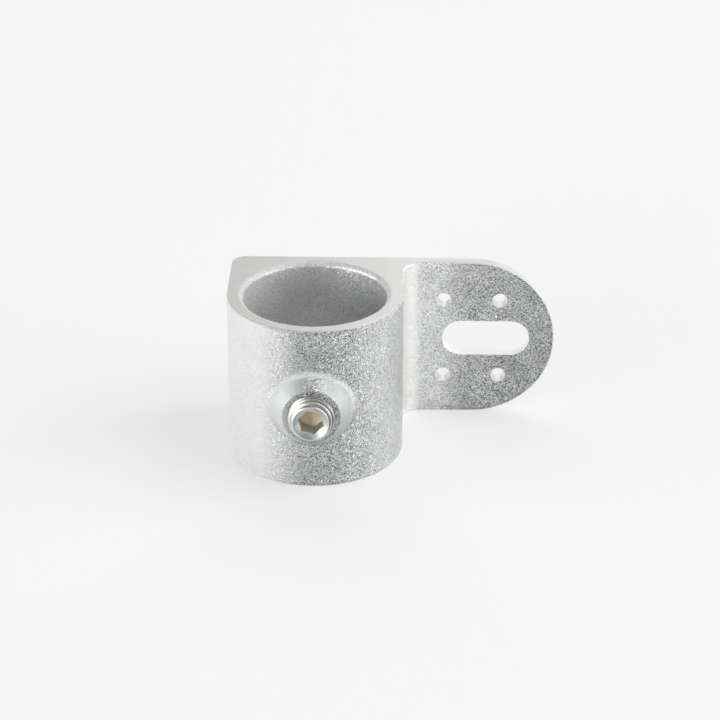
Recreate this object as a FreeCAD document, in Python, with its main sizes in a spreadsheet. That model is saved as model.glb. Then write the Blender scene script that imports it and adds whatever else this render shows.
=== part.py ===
import FreeCAD, Part
import os
import math
import Sketcher
from FreeCAD import Vector

# Tube clamp: a cast sleeve with a slotted lug plate, gripped on its tube by one socket set screw.
# The origin is on the tube's axis at mid-height. +Z runs along the tube, the lug plate reaches
# towards +X, the flat back faces +Y and the set screw enters from -Y. Lengths are in millimetres.

SIZES = {
    # sleeve
    "tube_diameter": 48.3,
    "tube_clearance": 0.85,
    "sleeve_wall": 5.75,
    "sleeve_height": 60,
    "back_wall": 5.25,
    "back_corner": 5,
    # lug plate
    "plate_thickness": 4.5,
    "plate_reach": 55.3,
    "plate_root": 6.5,
    "hole_diameter": 4.3,
    "hole_flare": 0.6,
    "hole_land": 1.5,
    "hole_spacing_across": 20,
    "hole_spacing_up": 30,
    "slot_width": 13.5,
    "slot_length": 31.4,
    "slot_offset": 5.2,
    # screw boss
    "boss_face_diameter": 20.2,
    "boss_rise": 4.65,
    "boss_taper": 32,
    "boss_root": 1.6,
    "boss_rim": 0.5,
    # rounded edges of the casting
    "outline_round": 1,
    "bore_round": 2.2,
    "opening_round": 0.35,
    # set screw
    "screw_diameter": 16,
    "screw_clearance": 0.08,
    "screw_length": 15,
    "screw_setback": 0.2,
    "screw_end_chamfer": 1.95,
    "screw_end_lead": 2.6,
    "screw_tip_chamfer": 1.4,
    "cup_diameter": 8,
    "cup_angle": 120,
    "hex_across_flats": 8,
    "hex_depth": 6.5,
    "hex_turn": 45,
    "hex_bevel": 0.25,
    "drill_angle": 120,
}

# Lengths that several features share, written as formulas on the sheet
BORE_RADIUS = "(Sizes.tube_diameter / 2 + Sizes.tube_clearance)"
SLEEVE_RADIUS = f"({BORE_RADIUS} + Sizes.sleeve_wall)"
BACK_PLANE = f"({BORE_RADIUS} + Sizes.back_wall)"
HALF_HEIGHT = "(Sizes.sleeve_height / 2)"
BOSS_FACE = f"({SLEEVE_RADIUS} + Sizes.boss_rise)"
BOSS_FACE_RADIUS = "(Sizes.boss_face_diameter / 2)"
BOSS_FLARE = f"(({BOSS_FACE} - {BORE_RADIUS}) * tan(Sizes.boss_taper * 1 deg))"
SCREW_RADIUS = "(Sizes.screw_diameter / 2)"
SCREW_HOLE_RADIUS = f"({SCREW_RADIUS} + Sizes.screw_clearance)"
SLOT_HALF_RUN = "((Sizes.slot_length - Sizes.slot_width) / 2)"

ON_SURFACE = 1e-4
THROUGH = "ThroughAll"

doc = FreeCAD.newDocument("tube_clamp")


def make_sheet():
    """The driving sizes, one aliased cell each."""
    sheet = doc.addObject("Spreadsheet::Sheet", "Sizes")
    for row, (name, value) in enumerate(SIZES.items(), start=1):
        sheet.set(f"A{row}", name)
        sheet.set(f"B{row}", str(value))
        sheet.setAlias(f"B{row}", name)
    doc.recompute()
    return sheet


def value_of(formula):
    """The number that a formula on the sheet comes to."""
    result = sheet.evalExpression(formula.replace("Sizes.", ""))
    return getattr(result, "Value", result)


def origin_part(body, role):
    return next(part for part in body.Origin.OriginFeatures if part.Role == role)


def new_body(label):
    body = doc.addObject("PartDesign::Body", label)
    body.Label = label
    return body


def new_sketch(body, plane, name):
    sketch = body.newObject("Sketcher::SketchObject", name)
    sketch.AttachmentSupport = [(origin_part(body, plane), "")]
    sketch.MapMode = "FlatFace"
    return sketch


def size_constraint(sketch, name, formula, *constraint):
    """A dimension that follows a formula on the sheet."""
    index = sketch.addConstraint(Sketcher.Constraint(*constraint, value_of(formula)))
    sketch.renameConstraint(index, name)
    sketch.setExpression(f"Constraints.{name}", formula)


def segment(start, end):
    return Part.LineSegment(Vector(*start, 0), Vector(*end, 0))


def arc(centre, radius, first, last):
    circle = Part.Circle(Vector(*centre, 0), Vector(0, 0, 1), radius)
    return Part.ArcOfCircle(circle, math.radians(first), math.radians(last))


def circle(centre, radius):
    return Part.Circle(Vector(*centre, 0), Vector(0, 0, 1), radius)


def cut_through(body, sketch, name, side="One side", towards_normal=False):
    """A cut right through the solid, along the sketch's normal, against it or both ways."""
    pocket = body.newObject("PartDesign::Pocket", name)
    pocket.Profile = sketch
    pocket.Type = THROUGH
    pocket.SideType = side
    pocket.Reversed = towards_normal
    doc.recompute()
    return pocket


def edges_where(shape, wanted):
    """Names of the edges of which both ends and the middle satisfy wanted(point, edge)."""
    names = []
    for index, edge in enumerate(shape.Edges, start=1):
        first, last = edge.ParameterRange
        points = [edge.valueAt(first + share * (last - first)) for share in (0, 0.3, 0.5, 1)]
        if all(wanted(point, edge) for point in points):
            names.append(f"Edge{index}")
    return names


def round_edges(body, name, radius_name, wanted):
    """A fillet along the chosen edges of the body as it stands."""
    base = body.Tip
    fillet = body.newObject("PartDesign::Fillet", name)
    fillet.Base = (base, edges_where(base.Shape, wanted))
    fillet.setExpression("Radius", f"Sizes.{radius_name}")
    doc.recompute()
    return fillet


def flare_holes(body, name, flare_formula, depth_formula, wanted):
    """Conical mouths at the chosen round edges: wider by the flare, tapering down to the depth."""
    base = body.Tip
    mouths = body.newObject("PartDesign::Chamfer", name)
    mouths.Base = (base, edges_where(base.Shape, wanted))
    mouths.ChamferType = "Two distances"
    mouths.setExpression("Size", flare_formula)
    mouths.setExpression("Size2", depth_formula)
    doc.recompute()
    return mouths


def near(number, target):
    return abs(number - target) < ON_SURFACE


def is_circle(edge, radius):
    return isinstance(edge.Curve, Part.Circle) and near(edge.Curve.Radius, radius)


def draw_sleeve_plan(body):
    """Plan of the sleeve: half-round front, straight sides and a flat back with one rounded corner.

    The right-hand back corner is square, because the lug plate runs on from it.
    """
    radius = value_of(SLEEVE_RADIUS)
    back = value_of(BACK_PLANE)
    corner = value_of("Sizes.back_corner")
    sketch = new_sketch(body, "XY_Plane", "sleeve_plan")
    front, right, rear, rounded, left = sketch.addGeometry([
        arc((0, 0), radius, 180, 360),
        segment((radius, 0), (radius, back)),
        segment((radius, back), (corner - radius, back)),
        arc((corner - radius, back - corner), corner, 90, 180),
        segment((-radius, back - corner), (-radius, 0)),
    ], False)
    sketch.addConstraint([
        Sketcher.Constraint("Coincident", front, 3, -1, 1),
        Sketcher.Constraint("Tangent", front, 2, right, 1),
        Sketcher.Constraint("Coincident", right, 2, rear, 1),
        Sketcher.Constraint("Tangent", rear, 2, rounded, 1),
        Sketcher.Constraint("Tangent", rounded, 2, left, 1),
        Sketcher.Constraint("Tangent", left, 2, front, 1),
        Sketcher.Constraint("Vertical", right),
        Sketcher.Constraint("Horizontal", rear),
        Sketcher.Constraint("Vertical", left),
    ])
    size_constraint(sketch, "sleeve_radius", SLEEVE_RADIUS, "Radius", front)
    size_constraint(sketch, "back_corner", "Sizes.back_corner", "Radius", rounded)
    size_constraint(sketch, "back_plane", BACK_PLANE, "DistanceY", -1, 1, right, 2)
    return sketch


def draw_plate_outline(body):
    """Lug plate seen from the front: as high as the sleeve, with a full-round end."""
    reach = value_of("Sizes.plate_reach")
    half = value_of(HALF_HEIGHT)
    sketch = new_sketch(body, "XZ_Plane", "plate_outline")
    lower, end, upper, root = sketch.addGeometry([
        segment((0, -half), (reach, -half)),
        arc((reach, 0), half, -90, 90),
        segment((reach, half), (0, half)),
        segment((0, half), (0, -half)),
    ], False)
    sketch.addConstraint([
        Sketcher.Constraint("Tangent", lower, 2, end, 1),
        Sketcher.Constraint("Tangent", end, 2, upper, 1),
        Sketcher.Constraint("Coincident", upper, 2, root, 1),
        Sketcher.Constraint("Coincident", root, 2, lower, 1),
        Sketcher.Constraint("Horizontal", lower),
        Sketcher.Constraint("Horizontal", upper),
        Sketcher.Constraint("PointOnObject", root, 1, -2),
        Sketcher.Constraint("Symmetric", root, 1, root, 2, -1),
    ])
    size_constraint(sketch, "end_radius", HALF_HEIGHT, "Radius", end)
    size_constraint(sketch, "reach", "Sizes.plate_reach", "DistanceX", -1, 1, end, 3)
    # The sketch's normal is -Y, so the back plane lies at a negative offset
    sketch.setExpression("AttachmentOffset.Base.z", f"-{BACK_PLANE}")
    return sketch


def draw_boss_section(body):
    """Half section of the boss about its axis: a flat face and a flank that flares down to the bore."""
    face = value_of(BOSS_FACE)
    bore = value_of(BORE_RADIUS)
    rim = value_of(BOSS_FACE_RADIUS)
    foot = rim + value_of(BOSS_FLARE)
    sketch = new_sketch(body, "XY_Plane", "boss_section")
    top, flank, bottom, axis = sketch.addGeometry([
        segment((0, -face), (rim, -face)),
        segment((rim, -face), (foot, -bore)),
        segment((foot, -bore), (0, -bore)),
        segment((0, -bore), (0, -face)),
    ], False)
    sketch.addConstraint([
        Sketcher.Constraint("Coincident", top, 2, flank, 1),
        Sketcher.Constraint("Coincident", flank, 2, bottom, 1),
        Sketcher.Constraint("Coincident", bottom, 2, axis, 1),
        Sketcher.Constraint("Coincident", axis, 2, top, 1),
        Sketcher.Constraint("Horizontal", top),
        Sketcher.Constraint("Horizontal", bottom),
        Sketcher.Constraint("PointOnObject", axis, 1, -2),
        Sketcher.Constraint("PointOnObject", axis, 2, -2),
    ])
    size_constraint(sketch, "face", BOSS_FACE, "DistanceY", top, 1, -1, 1)
    size_constraint(sketch, "bore", BORE_RADIUS, "DistanceY", axis, 1, -1, 1)
    size_constraint(sketch, "rim", BOSS_FACE_RADIUS, "DistanceX", top, 1, top, 2)
    size_constraint(sketch, "foot", f"{BOSS_FACE_RADIUS} + {BOSS_FLARE}", "DistanceX", bottom, 2, bottom, 1)
    return sketch


def draw_round_hole(body, plane, name, radius_formula):
    """One circle about the origin."""
    sketch = new_sketch(body, plane, name)
    ring = sketch.addGeometry(circle((0, 0), value_of(radius_formula)), False)
    sketch.addConstraint(Sketcher.Constraint("Coincident", ring, 3, -1, 1))
    size_constraint(sketch, "radius", radius_formula, "Radius", ring)
    return sketch


def draw_slot(body):
    """Bolt slot: a level stadium at mid-height."""
    half_width = value_of("Sizes.slot_width") / 2
    half_run = value_of(SLOT_HALF_RUN)
    middle = value_of("Sizes.plate_reach + Sizes.slot_offset")
    near_end, far_end = middle - half_run, middle + half_run
    sketch = new_sketch(body, "XZ_Plane", "slot_outline")
    inner, lower, outer, upper = sketch.addGeometry([
        arc((near_end, 0), half_width, 90, 270),
        segment((near_end, -half_width), (far_end, -half_width)),
        arc((far_end, 0), half_width, -90, 90),
        segment((far_end, half_width), (near_end, half_width)),
    ], False)
    sketch.addConstraint([
        Sketcher.Constraint("Tangent", inner, 2, lower, 1),
        Sketcher.Constraint("Tangent", lower, 2, outer, 1),
        Sketcher.Constraint("Tangent", outer, 2, upper, 1),
        Sketcher.Constraint("Tangent", upper, 2, inner, 1),
        Sketcher.Constraint("PointOnObject", inner, 3, -1),
        Sketcher.Constraint("PointOnObject", outer, 3, -1),
    ])
    size_constraint(sketch, "half_width", "Sizes.slot_width / 2", "Radius", inner)
    size_constraint(sketch, "near_end", f"Sizes.plate_reach + Sizes.slot_offset - {SLOT_HALF_RUN}",
                    "DistanceX", -1, 1, inner, 3)
    size_constraint(sketch, "run", f"2 * {SLOT_HALF_RUN}", "DistanceX", inner, 3, outer, 3)
    return sketch


def draw_bolt_holes(body):
    """The narrow ends of four fixing holes, on a rectangle about the centre of the plate's round end."""
    radius = value_of("Sizes.hole_diameter") / 2
    half_up = value_of("Sizes.hole_spacing_up") / 2
    sketch = new_sketch(body, "XZ_Plane", "bolt_hole_outlines")
    for column, sign in (("near", "-"), ("far", "+")):
        place = f"Sizes.plate_reach {sign} Sizes.hole_spacing_across / 2"
        across = value_of(place)
        low, high = sketch.addGeometry([
            circle((across, -half_up), radius),
            circle((across, half_up), radius),
        ], False)
        sketch.addConstraint([
            Sketcher.Constraint("Symmetric", low, 3, high, 3, -1),
            Sketcher.Constraint("Equal", low, high),
        ])
        size_constraint(sketch, f"{column}_radius", "Sizes.hole_diameter / 2", "Radius", low)
        size_constraint(sketch, f"{column}_across", place, "DistanceX", -1, 1, low, 3)
        size_constraint(sketch, f"{column}_up", "Sizes.hole_spacing_up", "DistanceY", low, 3, high, 3)
    return sketch


def make_casting():
    """The casting: sleeve, lug plate and boss in one piece, bored and drilled, with rounded edges."""
    body = new_body("clamp_casting")
    radius = value_of(SLEEVE_RADIUS)
    bore = value_of(BORE_RADIUS)
    back = value_of(BACK_PLANE)
    half = value_of(HALF_HEIGHT)
    plate_front = back - value_of("Sizes.plate_thickness")
    reach = value_of("Sizes.plate_reach")
    boss_face = -value_of(BOSS_FACE)

    sleeve = body.newObject("PartDesign::Pad", "sleeve")
    sleeve.Profile = draw_sleeve_plan(body)
    sleeve.SideType = "Symmetric"
    sleeve.setExpression("Length", "Sizes.sleeve_height")
    doc.recompute()

    plate = body.newObject("PartDesign::Pad", "lug_plate")
    plate.Profile = draw_plate_outline(body)
    plate.setExpression("Length", "Sizes.plate_thickness")
    doc.recompute()

    round_edges(body, "plate_root", "plate_root",
                lambda p, edge: near(p.x, radius) and near(p.y, plate_front))

    boss = body.newObject("PartDesign::Revolution", "boss")
    boss.Profile = draw_boss_section(body)
    boss.ReferenceAxis = (origin_part(body, "Y_Axis"), [""])
    boss.Angle = 360
    doc.recompute()

    cut_through(body, draw_round_hole(body, "XY_Plane", "bore_outline", BORE_RADIUS), "bore", "Symmetric")
    cut_through(body, draw_round_hole(body, "XZ_Plane", "screw_hole_outline", SCREW_HOLE_RADIUS),
                "screw_hole", towards_normal=True)
    cut_through(body, draw_slot(body), "bolt_slot")
    cut_through(body, draw_bolt_holes(body), "bolt_holes")

    hole_radius = value_of("Sizes.hole_diameter") / 2
    mouth_radius = hole_radius + value_of("Sizes.hole_flare")
    flare_holes(body, "hole_flares", "Sizes.hole_flare", "Sizes.plate_thickness - Sizes.hole_land",
                lambda p, edge: near(p.y, plate_front) and is_circle(edge, hole_radius))

    foot_reach = value_of(BOSS_FACE_RADIUS) + value_of(BOSS_FLARE)
    round_edges(body, "boss_root", "boss_root",
                lambda p, edge: p.y < 0 and near(math.hypot(p.x, p.y), radius)
                and math.hypot(p.x, p.z) < foot_reach)

    rim = value_of(BOSS_FACE_RADIUS)
    round_edges(body, "boss_rim", "boss_rim",
                lambda p, edge: near(p.y, boss_face) and is_circle(edge, rim))

    def on_outline(p, edge):
        """The rim of both end faces and of the plate's round end, without the bore and smooth seams."""
        is_straight = isinstance(edge.Curve, Part.Line)
        runs_back = is_straight and abs(edge.tangentAt(edge.FirstParameter).y) > 0.5
        on_side = near(p.x, -radius) or near(p.x, radius)
        on_end_face = near(abs(p.z), half) and not is_circle(edge, bore) and (on_side or not runs_back)
        on_round_end = is_circle(edge, half) and (near(p.y, back) or near(p.y, plate_front))
        return on_end_face or on_round_end

    round_edges(body, "outline_round", "outline_round", on_outline)
    round_edges(body, "bore_round", "bore_round",
                lambda p, edge: near(abs(p.z), half) and is_circle(edge, bore))

    slot_half_width = value_of("Sizes.slot_width") / 2
    nearest_hole = reach - value_of("Sizes.hole_spacing_across") / 2

    def on_opening(p, edge):
        """Both mouths of the slot and of the bolt holes."""
        on_face = near(p.y, back) or near(p.y, plate_front)
        on_slot_end = is_circle(edge, slot_half_width)
        on_slot_side = isinstance(edge.Curve, Part.Line) and near(abs(p.z), slot_half_width)
        on_hole = is_circle(edge, hole_radius) or is_circle(edge, mouth_radius)
        in_plate = p.x > nearest_hole - slot_half_width
        return on_face and in_plate and (on_slot_end or on_slot_side or on_hole)

    round_edges(body, "opening_round", "opening_round", on_opening)
    return body


def draw_screw_section(body):
    """Half section of the screw: its socket end at the top, its cupped point at the bottom.

    The socket end tapers over its first turns. The point is chamfered to 45 degrees and hollowed to
    a blunt cone, which leaves a ring that bites into the tube.
    """
    radius = value_of(SCREW_RADIUS)
    length = value_of("Sizes.screw_length")
    end_chamfer = value_of("Sizes.screw_end_chamfer")
    end_lead = value_of("Sizes.screw_end_lead")
    tip_chamfer = value_of("Sizes.screw_tip_chamfer")
    cup = value_of("Sizes.cup_diameter") / 2
    face_radius = f"{SCREW_RADIUS} - Sizes.screw_end_chamfer"
    tip_radius = f"{SCREW_RADIUS} - Sizes.screw_tip_chamfer"
    cup_depth = "Sizes.cup_diameter / 2 / tan(Sizes.cup_angle * 1 deg / 2)"
    depth = value_of(cup_depth)
    sketch = new_sketch(body, "XZ_Plane", "screw_section")
    corners = [
        (0, 0),
        (radius - end_chamfer, 0),
        (radius, -end_lead),
        (radius, tip_chamfer - length),
        (radius - tip_chamfer, -length),
        (cup, -length),
        (0, depth - length),
    ]
    lines = sketch.addGeometry([
        segment(start, end) for start, end in zip(corners, corners[1:] + corners[:1])
    ], False)
    for line, following in zip(lines, lines[1:] + lines[:1]):
        sketch.addConstraint(Sketcher.Constraint("Coincident", line, 2, following, 1))
    face, end_cone, side, tip_cone, ring, hollow, axis = lines
    sketch.addConstraint([
        Sketcher.Constraint("Coincident", face, 1, -1, 1),
        Sketcher.Constraint("Horizontal", face),
        Sketcher.Constraint("Vertical", side),
        Sketcher.Constraint("Horizontal", ring),
        Sketcher.Constraint("PointOnObject", axis, 1, -2),
    ])
    size_constraint(sketch, "face_radius", face_radius, "DistanceX", -1, 1, face, 2)
    size_constraint(sketch, "side_radius", SCREW_RADIUS, "DistanceX", -1, 1, side, 1)
    size_constraint(sketch, "end_lead", "Sizes.screw_end_lead", "DistanceY", side, 1, -1, 1)
    size_constraint(sketch, "tip_chamfer", "Sizes.screw_tip_chamfer", "DistanceY", ring, 1, side, 2)
    size_constraint(sketch, "tip_radius", tip_radius, "DistanceX", -1, 1, ring, 1)
    size_constraint(sketch, "length", "Sizes.screw_length", "DistanceY", ring, 1, -1, 1)
    size_constraint(sketch, "cup_radius", "Sizes.cup_diameter / 2", "DistanceX", -1, 1, ring, 2)
    size_constraint(sketch, "cup_depth", cup_depth, "DistanceY", ring, 2, axis, 1)
    return sketch


def make_screw():
    """The set screw, plain at its thread's outer diameter, with a hexagon socket and a cup point.

    It is drawn standing on its own axis with its socket end at height 0, and then laid along -Y in
    the boss, with its point just clear of the bore.
    """
    body = new_body("set_screw")
    turned = body.newObject("PartDesign::Revolution", "turned_blank")
    turned.Profile = draw_screw_section(body)
    turned.ReferenceAxis = (origin_part(body, "Z_Axis"), [""])
    turned.Angle = 360
    doc.recompute()

    socket = body.newObject("PartDesign::SubtractivePrism", "hex_socket")
    socket.Polygon = 6
    socket.setExpression("Circumradius", "Sizes.hex_across_flats / sqrt(3)")
    socket.setExpression("Height", "Sizes.hex_depth")
    socket.setExpression("Placement.Base.z", "-Sizes.hex_depth")
    socket.setExpression("Placement.Rotation.Angle", "Sizes.hex_turn * 1 deg")
    doc.recompute()

    drill_depth = "Sizes.hex_across_flats / 2 / tan(Sizes.drill_angle * 1 deg / 2)"
    drill_point = body.newObject("PartDesign::SubtractiveCone", "drill_point")
    drill_point.Radius1 = 0
    drill_point.setExpression("Radius2", "Sizes.hex_across_flats / 2")
    drill_point.setExpression("Height", drill_depth)
    drill_point.setExpression("Placement.Base.z", f"-Sizes.hex_depth - {drill_depth}")
    doc.recompute()

    mouth_radius = "(Sizes.hex_across_flats / sqrt(3) + Sizes.hex_bevel)"
    bevel = body.newObject("PartDesign::SubtractiveCone", "socket_bevel")
    bevel.Radius1 = 0
    bevel.setExpression("Radius2", mouth_radius)
    bevel.setExpression("Height", mouth_radius)
    bevel.setExpression("Placement.Base.z", f"-{mouth_radius}")
    doc.recompute()

    body.Placement.Rotation = FreeCAD.Rotation(Vector(1, 0, 0), 90)
    body.setExpression("Placement.Base.y",
                       f"-({BORE_RADIUS} + Sizes.screw_setback + Sizes.screw_length)")
    doc.recompute()
    return body


def check_and_write(bodies):
    """Stops on a failed feature or a bad solid, and otherwise writes one file for each piece."""
    doc.recompute()
    failed = [item.Name for item in doc.Objects if {"Invalid", "Error"} & set(item.State)]
    if failed:
        raise RuntimeError(f"failed features: {failed}")
    for body in bodies:
        if body.Shape.isNull() or not body.Shape.isValid() or len(body.Shape.Solids) != 1:
            raise RuntimeError(f"bad solid: {body.Label}")
    os.makedirs("parts", exist_ok=True)
    for body in bodies:
        body.Shape.exportStep(f"parts/{body.Label}.step")
        box = body.Shape.optimalBoundingBox(False, False)
        print(body.Label, f"{body.Shape.Volume:.1f} mm3", f"{box.XMin:.2f} {box.YMin:.2f} {box.ZMin:.2f}",
              f"{box.XMax:.2f} {box.YMax:.2f} {box.ZMax:.2f}")


sheet = make_sheet()
check_and_write([make_casting(), make_screw()])
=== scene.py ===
import functools
import math

import bpy
import numpy as np
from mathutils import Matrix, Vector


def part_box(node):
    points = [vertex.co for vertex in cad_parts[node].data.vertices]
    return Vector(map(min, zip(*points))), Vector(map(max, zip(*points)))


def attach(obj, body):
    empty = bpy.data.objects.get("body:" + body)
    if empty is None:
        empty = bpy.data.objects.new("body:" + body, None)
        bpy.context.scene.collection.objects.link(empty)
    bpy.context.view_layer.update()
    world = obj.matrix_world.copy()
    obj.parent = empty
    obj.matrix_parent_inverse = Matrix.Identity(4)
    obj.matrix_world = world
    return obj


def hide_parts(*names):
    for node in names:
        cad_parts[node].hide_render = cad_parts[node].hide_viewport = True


# Galvanised clamp on a pale floor, seen from in front and above.
# Lengths are in metres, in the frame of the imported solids: origin on the bore's axis at mid-height,
# +Z along the bore, the lug plate towards +X, the set screw towards -Y.

MM = 0.001
CENTRE = (0, 0, 0)

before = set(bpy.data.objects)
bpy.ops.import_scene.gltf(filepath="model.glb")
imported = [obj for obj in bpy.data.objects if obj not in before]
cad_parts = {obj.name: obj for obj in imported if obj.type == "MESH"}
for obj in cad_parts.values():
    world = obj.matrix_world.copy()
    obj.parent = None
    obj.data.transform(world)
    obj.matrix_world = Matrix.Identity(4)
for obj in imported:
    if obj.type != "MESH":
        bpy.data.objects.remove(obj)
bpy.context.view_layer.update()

casting_low, casting_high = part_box("clamp_casting")
screw_low, screw_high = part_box("set_screw")

# Set screw: length, thread, socket end, point and the rows of its skin
SCREW_FACE = screw_low.y
SCREW_LENGTH = screw_high.y - SCREW_FACE
THREAD_CLEARANCE = 0.04 * MM
THREAD_RADIUS = (screw_high.x - screw_low.x) / 2 - THREAD_CLEARANCE
THREAD_PITCH = 1.5 * MM
THREAD_DEPTH = 0.92 * MM
ROOT_FLAT = 0.17
CREST_FLAT = 0.13
FADED_THREAD = 0.75
END_EDGE_RADIUS = 6.0 * MM
END_EDGE_OUTER = 6.25 * MM
END_EDGE_FALL = 0.1 * MM
END_TAPER = 2.6 * MM
COUNTERSINK_SLOPE = math.tan(math.radians(32))
HEX_FLATS = 8.0 * MM
HEX_TURN = math.radians(45)
HEX_DEPTH = 6.5 * MM
DRILL_DEPTH = 2.3 * MM
POINT_RADIUS = 6.6 * MM
CUP_RADIUS = 4.0 * MM
CUP_DEPTH = 2.3 * MM
CUP_EDGE = 0.15 * MM
CUP_EDGE_FALL = 0.08 * MM
DRILL_ROWS = (0.0, 0.5, 0.995)
WALL_ROWS = 8
COUNTERSINK_ROWS = 7
END_EDGE_ROWS = 5
THREAD_ROWS_PER_PITCH = 22
SCREW_COLUMNS = 240
SHARP_ANGLE = math.radians(32)


def grid_faces(rows, columns):
    """Quads between neighbouring rows of a grid whose columns close on themselves, wound outwards."""
    row, column = np.meshgrid(np.arange(rows - 1), np.arange(columns), indexing="ij")
    following = (column + 1) % columns
    corners = [row * columns + column, (row + 1) * columns + column,
               (row + 1) * columns + following, row * columns + following]
    return np.stack(corners, axis=-1).reshape(-1, 4)


def closed_skin(name, rings, groove):
    """A closed skin through rings of points, an array (rows, columns, 3), with a fan at each end.

    The first and last rings shrink to one point each, which closes the poles. Each point keeps its depth
    in the groove of the thread, an array (rows, columns), for the finish.
    """
    rows, columns, _ = rings.shape
    inner = rings[1:-1].reshape(-1, 3)
    first_pole, last_pole = rings[0].mean(axis=0), rings[-1].mean(axis=0)
    points = np.vstack([inner, first_pole, last_pole])
    first, last = len(inner), len(inner) + 1
    around = np.arange(columns)
    after = (around + 1) % columns
    last_row = (rows - 3) * columns
    fan_in = np.stack([np.full(columns, first), around, after], axis=-1)
    fan_out = np.stack([last_row + around, np.full(columns, last), last_row + after], axis=-1)
    faces = grid_faces(rows - 2, columns).tolist() + fan_in.tolist() + fan_out.tolist()
    mesh = bpy.data.meshes.new(name)
    mesh.from_pydata(points, [], faces)
    kept = mesh.attributes.new("groove", "FLOAT", "POINT")
    kept.data.foreach_set("value", np.append(groove[1:-1].ravel(), [0, 0]).astype(np.float32))
    piece = bpy.data.objects.new(name, mesh)
    bpy.context.scene.collection.objects.link(piece)
    return piece


def thread_groove(along, angle):
    """Depth of a right-hand thread's groove, 0 at the crest and 1 at the root.

    It is a triangular wave of the pitch that shifts by one pitch in a turn, cut off by a flat at the
    root and at the crest, with eased corners.
    """
    phase = np.mod(along / THREAD_PITCH - angle / (2 * math.pi), 1)
    wave = np.abs(2 * phase - 1)
    flank = np.clip((wave - ROOT_FLAT) / (1 - ROOT_FLAT - CREST_FLAT), 0, 1)
    eased = flank * flank * (3 - 2 * flank)
    return 1 - 0.5 * (flank + eased)


def hexagon_radius(angle):
    """Distance from the axis to the socket's hexagon: half its width across flats over a cosine."""
    sector = math.pi / 3
    from_flat = np.mod(angle - HEX_TURN, sector) - sector / 2
    return HEX_FLATS / 2 / np.cos(from_flat)


def screw_rings():
    """Rings of the set screw, from its socket's bottom over its end and thread to its cup, and its groove.

    Each ring is a distance along the axis from the end and a radius, both functions of the angle. A cone
    at the bottom of the socket leads to the hexagon's walls, and a countersink cuts them off: its depth is
    its slope times the distance in from the end's edge. The edge is a quarter wave. The thread is cut from
    a taper at the socket end and a 45 degree cone at the point, and grows shallow towards the socket end.
    """
    angle = HEX_TURN + np.arange(SCREW_COLUMNS) * 2 * math.pi / SCREW_COLUMNS
    even = np.ones((1, SCREW_COLUMNS))
    hexagon = hexagon_radius(angle)[None, :]
    mouth = COUNTERSINK_SLOPE * (END_EDGE_RADIUS - hexagon)

    cone = np.array(DRILL_ROWS)[:, None]
    wall = np.linspace(0, 1, WALL_ROWS)[:, None]
    sink = np.linspace(0, 1, COUNTERSINK_ROWS)[1:, None]
    edge = np.linspace(0, 1, END_EDGE_ROWS)[1:, None]
    thread_rows = int(SCREW_LENGTH / THREAD_PITCH * THREAD_ROWS_PER_PITCH)
    thread = np.linspace(END_EDGE_FALL, SCREW_LENGTH, thread_rows + 1)[1:-1, None]
    tapered = np.clip((thread - END_EDGE_FALL) / END_TAPER, 0, 1)
    sunk = (FADED_THREAD + (1 - FADED_THREAD) * tapered ** 2) * thread_groove(thread, angle)
    cut = END_EDGE_OUTER + tapered * (THREAD_RADIUS - END_EDGE_OUTER) - THREAD_DEPTH * sunk
    cup_depth = np.array([0, 0, CUP_EDGE_FALL, CUP_DEPTH / 2, CUP_DEPTH])[:, None]
    cup_radius = np.array([POINT_RADIUS - CUP_EDGE, CUP_RADIUS + CUP_EDGE,
                           CUP_RADIUS, CUP_RADIUS / 2, 0])[:, None]

    along = np.concatenate([
        (HEX_DEPTH + DRILL_DEPTH * (1 - cone)) * even,
        HEX_DEPTH + wall * (mouth - HEX_DEPTH),
        mouth * (1 - sink),
        END_EDGE_FALL * (1 - np.cos(edge * math.pi / 2)) * even,
        thread * even,
        (SCREW_LENGTH - cup_depth) * even,
    ])
    radius = np.concatenate([
        cone * HEX_FLATS / 2 * even,
        hexagon * np.ones_like(wall),
        hexagon + sink * (END_EDGE_RADIUS - hexagon),
        (END_EDGE_RADIUS + edge * (END_EDGE_OUTER - END_EDGE_RADIUS)) * even,
        np.minimum(cut, POINT_RADIUS + SCREW_LENGTH - thread),
        cup_radius * even,
    ])
    groove = np.zeros_like(radius)
    first = len(cone) + len(wall) + len(sink) + len(edge)
    groove[first:first + len(thread)] = sunk
    return np.stack([radius * np.cos(angle), SCREW_FACE + along, radius * np.sin(angle)], axis=-1), groove


def make_screw():
    """The threaded set screw, which stands for the plain solid."""
    screw = closed_skin("threaded_set_screw", *screw_rings())
    screw.data.shade_smooth()
    screw.data.set_sharp_from_angle(angle=SHARP_ANGLE)
    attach(screw, "screw")
    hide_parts("set_screw")
    return screw


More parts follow.
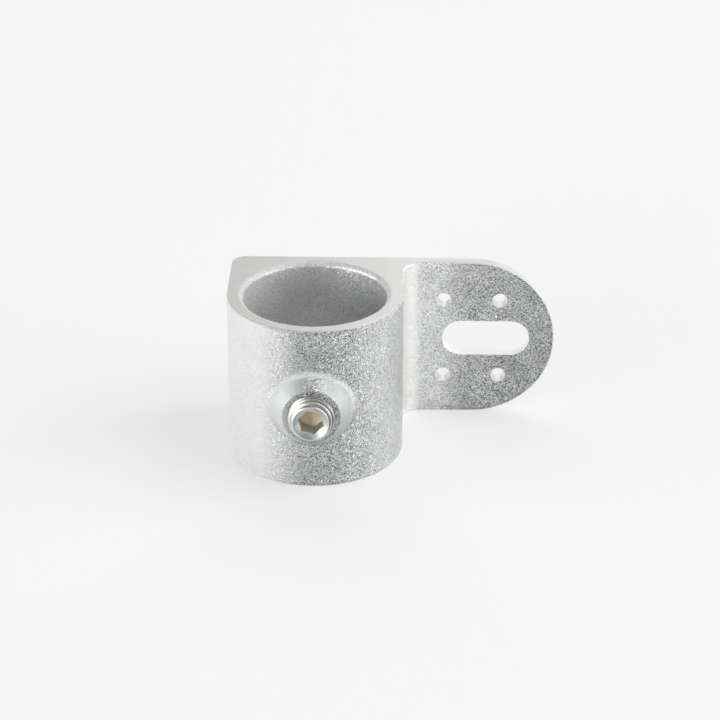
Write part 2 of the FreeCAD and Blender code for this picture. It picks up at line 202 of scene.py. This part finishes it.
class Nodes:
    """Short hand for building one material's nodes.

    A value is a number or another node's output, and a mask is a value from 0 to 1.
    """

    MID_GREY = (0.5, 0.5, 0.5)
    # A colour mix shares its sockets' names with other mixes, so they are given by number
    MIX_FIRST, MIX_SECOND, MIX_RESULT = 6, 7, 2

    def __init__(self, name):
        self.material = bpy.data.materials.new(name)
        self.material.use_nodes = True
        self.tree = self.material.node_tree
        self.shader = self.tree.nodes["Principled BSDF"]

    @functools.cached_property
    def place(self):
        """The piece's own coordinates."""
        return self.new("ShaderNodeTexCoord").outputs["Object"]

    @functools.cached_property
    def axes(self):
        """Those coordinates one by one: x, y and z."""
        split = self.new("ShaderNodeSeparateXYZ", {"Vector": self.place})
        return split.outputs["X"], split.outputs["Y"], split.outputs["Z"]

    def feed(self, socket, value):
        """Links a socket to another node's output, or sets it; a colour is three numbers."""
        if isinstance(value, bpy.types.NodeSocket):
            self.tree.links.new(value, socket)
        elif socket.type == "RGBA":
            socket.default_value = (*value, 1)
        else:
            socket.default_value = value

    def new(self, kind, inputs=None, **settings):
        """A new node with its settings, and then its inputs, by their names or numbers."""
        node = self.tree.nodes.new(kind)
        for key, value in settings.items():
            setattr(node, key, value)
        for key, value in (inputs or {}).items():
            self.feed(node.inputs[key], value)
        return node

    def shade(self, name, value):
        """Gives the shader's own input of that name its value."""
        self.feed(self.shader.inputs[name], value)

    def noise(self, size, detail=2.0, roughness=0.5):
        """Noise whose features are about size metres across."""
        inputs = {"Vector": self.place, "Scale": 1 / size, "Detail": detail, "Roughness": roughness}
        return self.new("ShaderNodeTexNoise", inputs).outputs["Fac"]

    def crystals(self, size):
        """A random colour for each cell of a scatter about size metres apart."""
        return self.new("ShaderNodeTexVoronoi", {"Vector": self.place, "Scale": 1 / size}).outputs["Color"]

    def vector(self, operation, inputs):
        """A vector worked out from others."""
        return self.new("ShaderNodeVectorMath", inputs, operation=operation).outputs["Vector"]

    def tilt(self, colour, amount):
        """The surface's normal, leaned by a random colour's offset from mid-grey times amount."""
        offset = self.vector("SUBTRACT", {0: colour, 1: self.MID_GREY})
        lean = self.vector("SCALE", {0: offset, "Scale": amount})
        leaned = self.vector("ADD", {0: lean, 1: self.new("ShaderNodeNewGeometry").outputs["Normal"]})
        return self.vector("NORMALIZE", {0: leaned})

    def distance(self, axis, centre):
        """Distance from the line through centre along "Y" or "Z"; centre is 0 in that direction."""
        across = tuple(float(name != axis) for name in "XYZ")
        flat = self.vector("MULTIPLY", {0: self.place, 1: across})
        return self.new("ShaderNodeVectorMath", {0: flat, 1: centre}, operation="DISTANCE").outputs["Value"]

    def remap(self, source, low, high, at_low, at_high, kind="LINEAR"):
        """A value that goes from at_low to at_high as source goes from low to high, and no further."""
        inputs = {"Value": source, "From Min": low, "From Max": high, "To Min": at_low, "To Max": at_high}
        return self.new("ShaderNodeMapRange", inputs, interpolation_type=kind).outputs["Result"]

    def rise(self, source, low, high):
        """A mask that grows from 0 at low to 1 at high."""
        return self.remap(source, low, high, 0, 1)

    def fall(self, source, low, high):
        """A mask that shrinks from 1 at low to 0 at high."""
        return self.remap(source, low, high, 1, 0)

    def combine(self, operation, first, *others):
        """One value from several, taken two at a time from the left."""
        for other in others:
            first = self.new("ShaderNodeMath", {0: first, 1: other}, operation=operation).outputs["Value"]
        return first

    def plus(self, *values):
        """The sum of the values."""
        return self.combine("ADD", *values)

    def times(self, *values):
        """The product of the values: of masks, where all of them are."""
        return self.combine("MULTIPLY", *values)

    def most(self, *values):
        """The largest of the values: of masks, where any of them is."""
        return self.combine("MAXIMUM", *values)

    def inverse(self, mask):
        """1 less the mask."""
        return self.combine("SUBTRACT", 1, mask)

    def unsigned(self, value):
        """The value without its sign."""
        return self.new("ShaderNodeMath", {0: value}, operation="ABSOLUTE").outputs["Value"]

    def ramp(self, source, stops):
        """A grey that follows source through stops of (place, grey)."""
        node = self.new("ShaderNodeValToRGB", {"Fac": source})
        band = node.color_ramp.elements
        while len(band) < len(stops):
            band.new(0.5)
        for element, (place, grey) in zip(band, stops):
            element.position = place
            element.color = (grey, grey, grey, 1)
        return node.outputs["Color"]

    def mix_colour(self, mask, first, second):
        """The first colour where the mask is 0, going to the second where it is 1."""
        inputs = {"Factor": mask, self.MIX_FIRST: first, self.MIX_SECOND: second}
        return self.new("ShaderNodeMix", inputs, data_type="RGBA").outputs[self.MIX_RESULT]

    def bump(self, height, depth, strength, under=None):
        """The normal of a surface that rises by depth times height, over another normal if one is given."""
        inputs = {"Height": height, "Distance": depth, "Strength": strength}
        if under is not None:
            inputs["Normal"] = under
        return self.new("ShaderNodeBump", inputs).outputs["Normal"]


# Casting: the places and sizes that its finish follows
HALF_HEIGHT = casting_high.z
BACK_FACE = casting_high.y
BOSS_FACE = casting_low.y
PLATE_FRONT = 25.75 * MM
PLATE_START = 39 * MM
PLATE_END_CENTRE = (55.3 * MM, 0, 0)
PLATE_RIM_RADIUS = 28 * MM
ROOT_CENTRE = (37.25 * MM, 19.25 * MM, 0)
ROOT_RADIUS = 6.5 * MM
BOSS_RIM_RADIUS = 10.1 * MM
BOSS_FOOT_RADIUS = 14 * MM
BORE_RADIUS = 25 * MM
SLEEVE_RADIUS = 30.75 * MM

# How smooth the zinc is, from 0 for sandy to 1; the far side is the one away from the plate. Smooth zinc
# takes a paler colour, so on the sleeve's far side, beside the fillet and on the boss's foot the smoothness
# also paints light
LIP_SMOOTH = 0.55
BORE_SMOOTH = 0.5
FLANK_SMOOTH = 0.8
FLANK_ABOVE_SHARE = 0.3
FOOT_SMOOTH_AND_HIGHLIGHT = 0.65
FILLET_SMOOTH_AND_HIGHLIGHT = 0.6
BESIDE_FILLET_SMOOTH_AND_HIGHLIGHT = 0.42
FAR_SIDE_SMOOTH_AND_LIGHT = 0.74
FAR_BACK_SHARE = 0.55
NEAR_SIDE_SMOOTH = 0.32

# How pale the thick zinc is, how much of the dull colour shows, and how much rougher the soft edges are
# On the fillet the paleness is partly, and on the boss's foot wholly, a painted highlight.
FILLET_PALE_AND_HIGHLIGHT = 0.7
FOOT_HIGHLIGHT = 0.05
PLATE_TOP_DULL = 0.5
RIM_DULL = 0.55
FLANK_DULL = 0.8
FOOT_SOFT = 0.4
EDGE_SOFT = 0.35
FLANK_SOFT = 0.22

# Brightness of the sandy skin, as factors; beside the root a painted highlight, on the boss painted light,
# and on the boss's rim and the plate's lower half painted shade
ROOT_HIGHLIGHT_TONE = 1.4
SLEEVE_TONE = 0.87
PLATE_TONE = 1.03
PLATE_END_TONE = 0.85
PLATE_LOW_SHADE_TONE = 0.86
BOSS_LIGHT_TONE = 1.52
BOSS_RIM_SHADE_TONE = 0.58
CLOUD_TONES = (0.69, 0.87)

# Grain of the zinc: sizes, depths and the span that most of a noise lies in
CRYSTAL_SIZE = 0.32 * MM
GRAIN_SIZE = 0.46 * MM
GRAIN_DEPTH = 0.18 * MM
GRAIN_HARSHNESS = 0.55
WAVE_SIZE = 6 * MM
WAVE_DEPTH = 0.25 * MM
WAVE_STRENGTH = 0.5
CLOUD_SIZE = 8 * MM
CLOUD_DETAIL = 3.0
PATCH_SIZE = 10 * MM
PATCH_SHIFT = 8 * MM
NOISE_SPAN = (0.3, 0.7)
CRYSTAL_SHARE = 0.7
GRAIN_SHARE = 0.6
FLECK_GREYS = [(0.27, 0.05), (0.46, 0.45), (0.69, 0.78), (0.96, 0.98)]

# Colours of the zinc; the far end face's darker colour is painted shade and the far flank's paler colour is
# painted light
COOL_TINT = (0.94, 0.985, 0.985)
PLAIN_TINT = (0.985, 1.0, 0.985)
SMOOTH_ZINC = (0.94, 0.945, 0.935)
PALE_ZINC_AND_HIGHLIGHT = (0.96, 0.96, 0.935)
FAR_END_FACE_SHADED = (0.63, 0.635, 0.61)
NEAR_END_FACE = (0.69, 0.685, 0.665)
FAR_FLANK_LIT = (0.64, 0.655, 0.64)
NEAR_FLANK = (0.45, 0.465, 0.45)

# Gloss and tilt of the zinc
SANDY_ROUGHNESS, SMOOTH_ROUGHNESS = 0.34, 0.42
FAR_METALLIC, NEAR_METALLIC = 0.28, 0.7
SANDY_TILT, SMOOTH_TILT = 1.0, 0.15
SANDY_BUMP, SMOOTH_BUMP = 0.8, 0.15


def end_masks(n):
    """Three masks at the casting's two ends: their flat faces, the edges beside them and the bore's lips.

    All follow the height above or below the middle, and the lips also the distance to the bore's axis.
    """
    height = n.unsigned(n.axes[2])
    faces = n.rise(height, HALF_HEIGHT - 0.35 * MM, HALF_HEIGHT - 0.1 * MM)
    at_edge = n.rise(height, HALF_HEIGHT - 1.4 * MM, HALF_HEIGHT - 0.9 * MM)
    near_bore = n.fall(n.distance("Z", CENTRE), BORE_RADIUS + 2.2 * MM, BORE_RADIUS + 2.5 * MM)
    near_end = n.rise(height, HALF_HEIGHT - 2.6 * MM, HALF_HEIGHT - 1.8 * MM)
    return faces, n.times(at_edge, n.inverse(faces)), n.times(near_bore, near_end)


def plate_masks(n):
    """Three masks on the lug plate: the walls of its thickness, its outer rim and the edge before the rim.

    The walls lie between its front and its back. The rim is the part of them that is far from the centre
    of the plate's round end, and the edge is as far from it and nearer to the front.
    """
    x, y, _ = n.axes
    on_plate = n.rise(x, PLATE_START, PLATE_START + 1 * MM)
    behind_front = n.rise(y, PLATE_FRONT + 0.1 * MM, PLATE_FRONT + 0.4 * MM)
    before_back = n.fall(y, BACK_FACE - 0.3 * MM, BACK_FACE - 0.1 * MM)
    walls = n.times(behind_front, before_back, on_plate)
    outer = n.rise(n.distance("Y", PLATE_END_CENTRE), PLATE_RIM_RADIUS, PLATE_RIM_RADIUS + 1 * MM)
    near_front = n.fall(y, PLATE_FRONT + 0.8 * MM, PLATE_FRONT + 1.3 * MM)
    return walls, n.times(walls, outer), n.times(outer, on_plate, near_front)


def root_masks(n):
    """Two masks by the distance to the axis of the plate's root: its fillet, and the skin beside that."""
    # The fillet's pale smooth zinc is partly real and partly a painted highlight, which fades out over the
    # skin beside it.
    from_root = n.distance("Z", ROOT_CENTRE)
    inside = n.fall(from_root, ROOT_RADIUS + 0.1 * MM, ROOT_RADIUS + 0.4 * MM)
    fillet = n.times(inside, n.remap(n.axes[0], 34.5 * MM, 38 * MM, 1, 0, "SMOOTHSTEP"))
    beside = n.remap(from_root, ROOT_RADIUS, ROOT_RADIUS + 13 * MM, BESIDE_FILLET_SMOOTH_AND_HIGHLIGHT, 0)
    return fillet, beside


def sleeve_masks(n):
    """Two masks on the sleeve: the wall of its bore, and how smooth its two sides are.

    The side away from the plate is the smoother one, less so towards the back, and the pale colour of
    smooth zinc paints light on it. The other side is smooth only in front of the plate.
    """
    x, y, _ = n.axes
    bore = n.fall(n.distance("Z", CENTRE), BORE_RADIUS + 0.5 * MM, BORE_RADIUS + 1.5 * MM)
    # Smoother zinc on the far side is paler: painted light on that side.
    far_side_painted_light = n.times(n.remap(x, -18 * MM, -4 * MM, FAR_SIDE_SMOOTH_AND_LIGHT, 0),
                       n.remap(y, 2 * MM, 14 * MM, 1, FAR_BACK_SHARE))
    near_side = n.times(n.remap(x, 8 * MM, 24 * MM, 0, NEAR_SIDE_SMOOTH),
                        n.fall(y, 12 * MM, 18 * MM))
    return bore, n.times(n.most(far_side_painted_light, near_side), n.inverse(bore))


def boss_masks(n):
    """Two masks on the boss: the sides of its flank, and a narrow ring round the upper half of its foot.

    Both follow the distance to the screw's axis. The flank lies between the rim and the foot, above the
    sleeve's skin, and fades straight above and below the screw.
    """
    x, y, z = n.axes
    in_front = n.fall(y, -20 * MM, -15 * MM)
    from_screw = n.distance("Y", CENTRE)
    above_skin = n.rise(n.distance("Z", CENTRE), SLEEVE_RADIUS + 0.2 * MM, SLEEVE_RADIUS + 1.0 * MM)
    inside_foot = n.fall(from_screw, BOSS_FOOT_RADIUS - 0.8 * MM, BOSS_FOOT_RADIUS + 0.4 * MM)
    outside_rim = n.rise(from_screw, BOSS_RIM_RADIUS - 0.3 * MM, BOSS_RIM_RADIUS + 0.3 * MM)
    beside_screw = n.remap(n.unsigned(x), 2 * MM, 7 * MM, FLANK_ABOVE_SHARE, 1)
    sides = n.times(above_skin, inside_foot, outside_rim, beside_screw, in_front)
    # The ring round the upper half of the foot carries a painted highlight.
    foot_starts = n.rise(from_screw, BOSS_FOOT_RADIUS - 2.0 * MM, BOSS_FOOT_RADIUS - 0.3 * MM)
    foot_ends = n.fall(from_screw, BOSS_FOOT_RADIUS, BOSS_FOOT_RADIUS + 1.8 * MM)
    upper_half = n.rise(z, -5 * MM, 3 * MM)
    return sides, n.times(foot_starts, foot_ends, in_front, upper_half)


def smooth_zinc(n):
    """Five masks of the casting's finish, put together from those of its parts.

    They are where the zinc ran smooth, where it is also thick and pale, where an end face or the plate's
    rim shows the dull colour, the sides of the boss, and the edges that shine less. The smooth and pale
    masks also paint light: on the sleeve's far side, and as a highlight along the fillet and the foot.
    """
    x = n.axes[0]
    end_faces, end_edges, lips = end_masks(n)
    walls, rim, plate_edge = plate_masks(n)
    fillet, beside_fillet_highlight = root_masks(n)
    bore, sleeve_sides = sleeve_masks(n)
    boss_sides, foot = boss_masks(n)
    smooth = n.most(end_faces, walls, n.times(lips, LIP_SMOOTH), n.times(bore, BORE_SMOOTH),
                    n.times(boss_sides, FLANK_SMOOTH), n.times(foot, FOOT_SMOOTH_AND_HIGHLIGHT),
                    n.times(fillet, FILLET_SMOOTH_AND_HIGHLIGHT), beside_fillet_highlight, sleeve_sides)
    # Pale on the plate's walls as the zinc's own colour; on the fillet partly and on the foot wholly a
    # painted highlight.
    thick_and_highlight = n.most(walls, n.times(fillet, FILLET_PALE_AND_HIGHLIGHT), n.times(foot, FOOT_HIGHLIGHT))
    kept_dull = n.most(n.times(end_faces, n.fall(x, 36 * MM, 60 * MM)), rim)
    pale = n.times(thick_and_highlight, n.inverse(kept_dull))
    dull_faces = n.most(n.times(end_faces, n.remap(x, 4 * MM, 38 * MM, 1, PLATE_TOP_DULL)),
                        n.times(rim, RIM_DULL))
    soft_edges = n.most(n.times(foot, FOOT_SOFT), n.times(n.most(end_edges, plate_edge), EDGE_SOFT))
    return smooth, pale, dull_faces, boss_sides, soft_edges


def zinc_tone(n):
    """Brightness of the sandy skin, a product of factors that each change in one direction.

    It is more beside the plate's root, a painted highlight, and on the boss, painted light. It is less on
    the sleeve, on the boss's rim, as painted shade, towards the plate's end, and on its lower half, as
    painted shade. Soft clouds change it everywhere.
    """
    x, y, z = n.axes
    from_root = n.distance("Z", ROOT_CENTRE)
    # Painted highlight beside the plate's root.
    root = n.remap(from_root, ROOT_RADIUS, ROOT_RADIUS + 9 * MM, ROOT_HIGHLIGHT_TONE, 1, "SMOOTHSTEP")
    sleeve = n.remap(x, 28 * MM, 40 * MM, SLEEVE_TONE, 1)
    plate_end = n.remap(x, 46 * MM, 80 * MM, PLATE_TONE, PLATE_END_TONE)
    # Painted shade on the plate's lower half.
    plate_low = n.most(n.remap(z, -26 * MM, 6 * MM, PLATE_LOW_SHADE_TONE, 1), n.fall(x, 32 * MM, 44 * MM))
    # Painted light on the boss.
    boss = n.remap(y, -SLEEVE_RADIUS - 1 * MM, -SLEEVE_RADIUS, BOSS_LIGHT_TONE, 1)
    # Painted shade on the boss's rim.
    boss_rim = n.remap(y, BOSS_FACE + 0.1 * MM, BOSS_FACE + 0.6 * MM, BOSS_RIM_SHADE_TONE, 1)
    clouds = n.remap(n.noise(CLOUD_SIZE, detail=CLOUD_DETAIL), *NOISE_SPAN, *CLOUD_TONES)
    return n.times(root, sleeve, plate_end, plate_low, boss, boss_rim, clouds)


def sandy_zinc(n, crystal, grain, patches):
    """Colour of the sandy skin: a grey by crystal and grain, tinted in patches, times the skin's tone."""
    red = n.new("ShaderNodeSeparateColor", {"Color": crystal}).outputs["Red"]
    fleck = n.ramp(n.plus(n.times(red, CRYSTAL_SHARE), n.times(grain, GRAIN_SHARE)), FLECK_GREYS)
    tint = n.mix_colour(n.rise(patches, *NOISE_SPAN), COOL_TINT, PLAIN_TINT)
    return n.vector("SCALE", {0: n.vector("MULTIPLY", {0: fleck, 1: tint}), "Scale": zinc_tone(n)})


def galvanised_iron():
    """Hot-dip galvanised casting: a sandy skin of small tilted crystals that fades into smooth zinc.

    The end faces and the boss's flank have their own colours, with painted shade on the end faces' far side
    and painted light on the flank's far side. The side away from the plate is the less metallic one.
    """
    n = Nodes("galvanised_iron_cast")
    x = n.axes[0]
    smooth, pale, dull_faces, boss_sides, soft_edges = smooth_zinc(n)
    crystal = n.crystals(CRYSTAL_SIZE)
    grain = n.noise(GRAIN_SIZE, roughness=GRAIN_HARSHNESS)
    patches = n.noise(PATCH_SIZE, detail=CLOUD_DETAIL)

    patchy_x = n.plus(x, n.remap(patches, *NOISE_SPAN, -PATCH_SHIFT, PATCH_SHIFT))
    # The end faces are darker on the far side, painted shade, shifted in patches.
    end_face = n.mix_colour(n.rise(patchy_x, -26 * MM, 6 * MM), FAR_END_FACE_SHADED, NEAR_END_FACE)
    # The flank is paler on the far side: painted light.
    flank = n.mix_colour(n.rise(x, -9 * MM, 9 * MM), FAR_FLANK_LIT, NEAR_FLANK)
    # Smooth zinc takes the pale smooth colour; on the sleeve's far side, beside the fillet and on the
    # boss's foot this paleness is painted light.
    skin = n.mix_colour(smooth, sandy_zinc(n, crystal, grain, patches), SMOOTH_ZINC)
    skin = n.mix_colour(n.times(boss_sides, FLANK_DULL), skin, flank)
    skin = n.mix_colour(dull_faces, skin, end_face)
    # Pale zinc: partly a painted highlight on the fillet, and a painted highlight on the boss's foot.
    n.shade("Base Color", n.mix_colour(pale, skin, PALE_ZINC_AND_HIGHLIGHT))

    softer = n.most(n.times(boss_sides, FLANK_SOFT), soft_edges)
    n.shade("Roughness", n.plus(n.remap(smooth, 0, 0.7, SANDY_ROUGHNESS, SMOOTH_ROUGHNESS), softer))
    n.shade("Metallic", n.remap(x, -22 * MM, -4 * MM, FAR_METALLIC, NEAR_METALLIC))

    tilted = n.tilt(crystal, n.remap(smooth, 0, 0.75, SANDY_TILT, SMOOTH_TILT))
    wavy = n.bump(n.noise(WAVE_SIZE), WAVE_DEPTH, WAVE_STRENGTH, tilted)
    n.shade("Normal", n.bump(grain, GRAIN_DEPTH, n.remap(smooth, 0, 1, SANDY_BUMP, SMOOTH_BUMP), wavy))
    return n.material


# Plating of the screw: colours, gloss, the slant across its end that the colours follow, stains, and oil
# with painted shade
BLUISH_ZINC_AND_SHADE = (0.37, 0.41, 0.43)
BRIGHT_ZINC = (0.78, 0.77, 0.74)
GREY_ZINC = (0.60, 0.60, 0.58)
DARK_OIL_AND_SHADE = (0.08, 0.09, 0.09)
SOCKET_WALL = (0.62, 0.63, 0.57)
PALE_SOCKET_WALL = (0.72, 0.72, 0.65)
SOCKET_BOTTOM = (0.68, 0.59, 0.44)
END_ROUGHNESS, THREAD_ROUGHNESS, SOCKET_ROUGHNESS = 0.5, 0.4, 0.6
SLANT_X, SLANT_Z = 0.8, 0.55
STAIN_SIZE = 2.6 * MM
STAIN_SHIFT = 1.5 * MM
WALL_STAIN_SPAN = (0.35, 0.65)
OIL_AND_SHADE_GROOVE = (0.02, 0.45)
OIL_AND_SHADE_LEFT, OIL_AND_SHADE_RIGHT = 0.36, 0.92
OIL_AND_SHADE_TOP_SHARE = 0.62
SOCKET_REACH = 4.7 * MM
PITTING_SIZE = 0.25 * MM
PITTING_DEPTH = 0.015 * MM
PITTING_STRENGTH = 0.4


def zinc_plated_steel():
    """Bright zinc with dark oil and painted shade in the grooves, and a brown socket.

    The end is bluer towards its lower left, and darker there as painted shade, and greyer towards its upper
    right, along a slant that stains shift. The oil and painted shade are thickest where the groove is
    deep, on the right and below.
    """
    n = Nodes("zinc_plated_steel_turned")
    x, y, z = n.axes
    from_axis = n.distance("Y", CENTRE)
    outside = n.rise(from_axis, END_EDGE_RADIUS, END_EDGE_OUTER)
    in_socket = n.times(n.rise(y, SCREW_FACE + 0.75 * MM, SCREW_FACE + 1.3 * MM),
                        n.fall(from_axis, SOCKET_REACH, SOCKET_REACH + 0.1 * MM))
    at_bottom = n.rise(y, SCREW_FACE + HEX_DEPTH - 0.6 * MM, SCREW_FACE + HEX_DEPTH)
    groove = n.new("ShaderNodeAttribute", attribute_name="groove").outputs["Fac"]
    stains = n.noise(STAIN_SIZE)

    slant = n.plus(n.times(x, SLANT_X), n.times(z, SLANT_Z))
    stained = n.plus(slant, n.remap(stains, *NOISE_SPAN, -STAIN_SHIFT, STAIN_SHIFT))
    bright = n.most(n.rise(stained, -4.5 * MM, 2.5 * MM), outside)
    # Bluish zinc towards the lower left, darkened there as painted shade.
    plating = n.mix_colour(bright, BLUISH_ZINC_AND_SHADE, BRIGHT_ZINC)
    plating = n.mix_colour(n.rise(stained, 0.5 * MM, 5 * MM), plating, GREY_ZINC)
    # Dark oil with painted shade in the deep grooves, more on the right and below.
    oil_and_shade = n.times(n.rise(groove, *OIL_AND_SHADE_GROOVE), n.remap(x, -5 * MM, 7 * MM, OIL_AND_SHADE_LEFT, OIL_AND_SHADE_RIGHT),
                  n.remap(z, 1 * MM, 7 * MM, 1, OIL_AND_SHADE_TOP_SHARE))
    oiled_and_shaded = n.mix_colour(oil_and_shade, plating, DARK_OIL_AND_SHADE)
    walls = n.mix_colour(n.rise(stains, *WALL_STAIN_SPAN), SOCKET_WALL, PALE_SOCKET_WALL)
    socket = n.mix_colour(at_bottom, walls, SOCKET_BOTTOM)
    n.shade("Base Color", n.mix_colour(in_socket, oiled_and_shaded, socket))

    end_to_thread = n.remap(outside, 0, 1, END_ROUGHNESS, THREAD_ROUGHNESS)
    n.shade("Roughness", n.most(end_to_thread, n.times(in_socket, SOCKET_ROUGHNESS)))
    n.shade("Metallic", 1.0)
    n.shade("Normal", n.bump(n.noise(PITTING_SIZE), PITTING_DEPTH, PITTING_STRENGTH))
    return n.material


# Stage: a floor of rings and, far out, a screen that curves up from it
FLOOR_LEVEL = casting_low.z
FLOOR_RINGS = (0.0, 0.25, 0.5, 1.0, 2.0, 3.5)
FLOOR_GLOW = 0.40
SCREEN_RADIUS = 5.0
SCREEN_CURVE = 1.2
SCREEN_GLOW = 0.72
SCREEN_ROWS = 13
STAGE_COLUMNS = 96
STAGE_GREY = (0.6, 0.6, 0.6)
STAGE_ROUGHNESS = 0.9
STAGE_GLOSS = 0.1
WHITE = (1, 1, 1)


def stage_paint(name, glow):
    """Plain matt paint that glows where the camera, metal or glass sees it, so that the ground is pale."""
    n = Nodes(name)
    n.shade("Base Color", STAGE_GREY)
    n.shade("Roughness", STAGE_ROUGHNESS)
    n.shade("Specular IOR Level", STAGE_GLOSS)
    n.shade("Emission Color", WHITE)
    rays = n.new("ShaderNodeLightPath").outputs
    seen = n.most(rays["Is Camera Ray"], rays["Is Glossy Ray"], rays["Is Transmission Ray"])
    n.shade("Emission Strength", n.times(seen, glow))
    return n.material


def make_ground(name, profile, paint):
    """A round surface: a profile of (radius, height above the floor) carried round the upright axis."""
    angle = np.arange(STAGE_COLUMNS) * 2 * math.pi / STAGE_COLUMNS
    radius, height = np.array(profile).T[:, :, None]
    level = np.broadcast_to(FLOOR_LEVEL + height, (len(profile), STAGE_COLUMNS))
    points = np.stack([radius * np.cos(angle), radius * np.sin(angle), level], axis=-1)
    mesh = bpy.data.meshes.new(name)
    mesh.from_pydata(points.reshape(-1, 3), [], grid_faces(len(profile), STAGE_COLUMNS).tolist())
    mesh.shade_smooth()
    ground = bpy.data.objects.new(name, mesh)
    bpy.context.scene.collection.objects.link(ground)
    ground.data.materials.append(paint)


def make_stage():
    """A flat pale floor, and far out a low pale screen that curves up from it in a quarter circle."""
    flat = [(radius, 0.0) for radius in (*FLOOR_RINGS, SCREEN_RADIUS)]
    turn = np.linspace(0, math.pi / 2, SCREEN_ROWS)
    out, up = SCREEN_RADIUS + SCREEN_CURVE * np.sin(turn), SCREEN_CURVE * (1 - np.cos(turn))
    make_ground("floor", flat, stage_paint("pale_floor", FLOOR_GLOW))
    make_ground("screen", np.stack([out, up], axis=-1), stage_paint("pale_screen", SCREEN_GLOW))


# Soft panels round the clamp: place, width, height and brightness
PANELS = {
    "left_softbox": ((-2.62, -1.25, 0.57), 5.7, 1.1, 4.1),
    "right_softbox": ((3.1, -0.45, 3.3), 4.4, 4.0, 1.8),
    "right_low_softbox": ((3.7, -0.35, 0.77), 4.8, 1.5, 3.2),
    "back_softbox": ((0.2, 4.0, 1.55), 6.6, 3.1, 0.65),
    "back_high_softbox": ((0.2, 3.1, 4.2), 5.3, 2.6, 1.3),
    "front_softbox": ((0.2, -2.9, 3.3), 4.8, 2.9, 0.4),
}
PANEL_AIM = (0.02, 0.0, 0.0)
ROOM_COLOUR = (0.97, 0.985, 1.0)
ROOM_STRENGTH = 0.13


def add_softbox(name, place, width, height, brightness):
    """A rectangular lamp that faces the clamp; its power is its brightness times pi times its area."""
    lamp = bpy.data.lights.new(name, "AREA")
    lamp.shape = "RECTANGLE"
    lamp.size = width
    lamp.size_y = height
    lamp.energy = brightness * math.pi * width * height
    holder = bpy.data.objects.new(name, lamp)
    away = np.array(place) - np.array(PANEL_AIM)
    flat = math.hypot(away[0], away[1])
    holder.location = place
    holder.rotation_euler = (math.atan2(flat, away[2]), 0, math.atan2(away[1], away[0]) + math.pi / 2)
    holder.visible_camera = False
    bpy.context.scene.collection.objects.link(holder)


def add_lights():
    """Soft light: strong and low from both sides, weaker from high on the right, behind and in front."""
    for name, panel in PANELS.items():
        add_softbox(name, *panel)
    world = bpy.data.worlds.new("studio")
    bpy.context.scene.world = world
    world.use_nodes = True
    background = world.node_tree.nodes["Background"]
    background.inputs["Color"].default_value = (*ROOM_COLOUR, 1)
    background.inputs["Strength"].default_value = ROOM_STRENGTH


# Camera, fitted to the outline of the clamp in the photograph
CAMERA_PLACE = (33.7 * MM, -723.7 * MM, 377.3 * MM)
CAMERA_PITCH = math.radians(27.29)
CAMERA_HEADING = math.radians(1.43)
CAMERA_LENS = 115.77
CAMERA_SENSOR = 36.0


def add_camera():
    """A level camera that looks down by its pitch, turned from +Y to the left by its heading."""
    lens = bpy.data.cameras.new("camera")
    lens.lens = CAMERA_LENS
    lens.sensor_width = CAMERA_SENSOR
    camera = bpy.data.objects.new("camera", lens)
    camera.location = CAMERA_PLACE
    camera.rotation_euler = (math.pi / 2 - CAMERA_PITCH, 0, CAMERA_HEADING)
    bpy.context.scene.collection.objects.link(camera)
    bpy.context.scene.camera = camera


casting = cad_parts["clamp_casting"]
casting.data.materials.clear()
casting.data.materials.append(galvanised_iron())
make_screw().data.materials.append(zinc_plated_steel())
make_stage()
add_lights()
add_camera()
bpy.context.scene.view_settings.view_transform = "Standard"
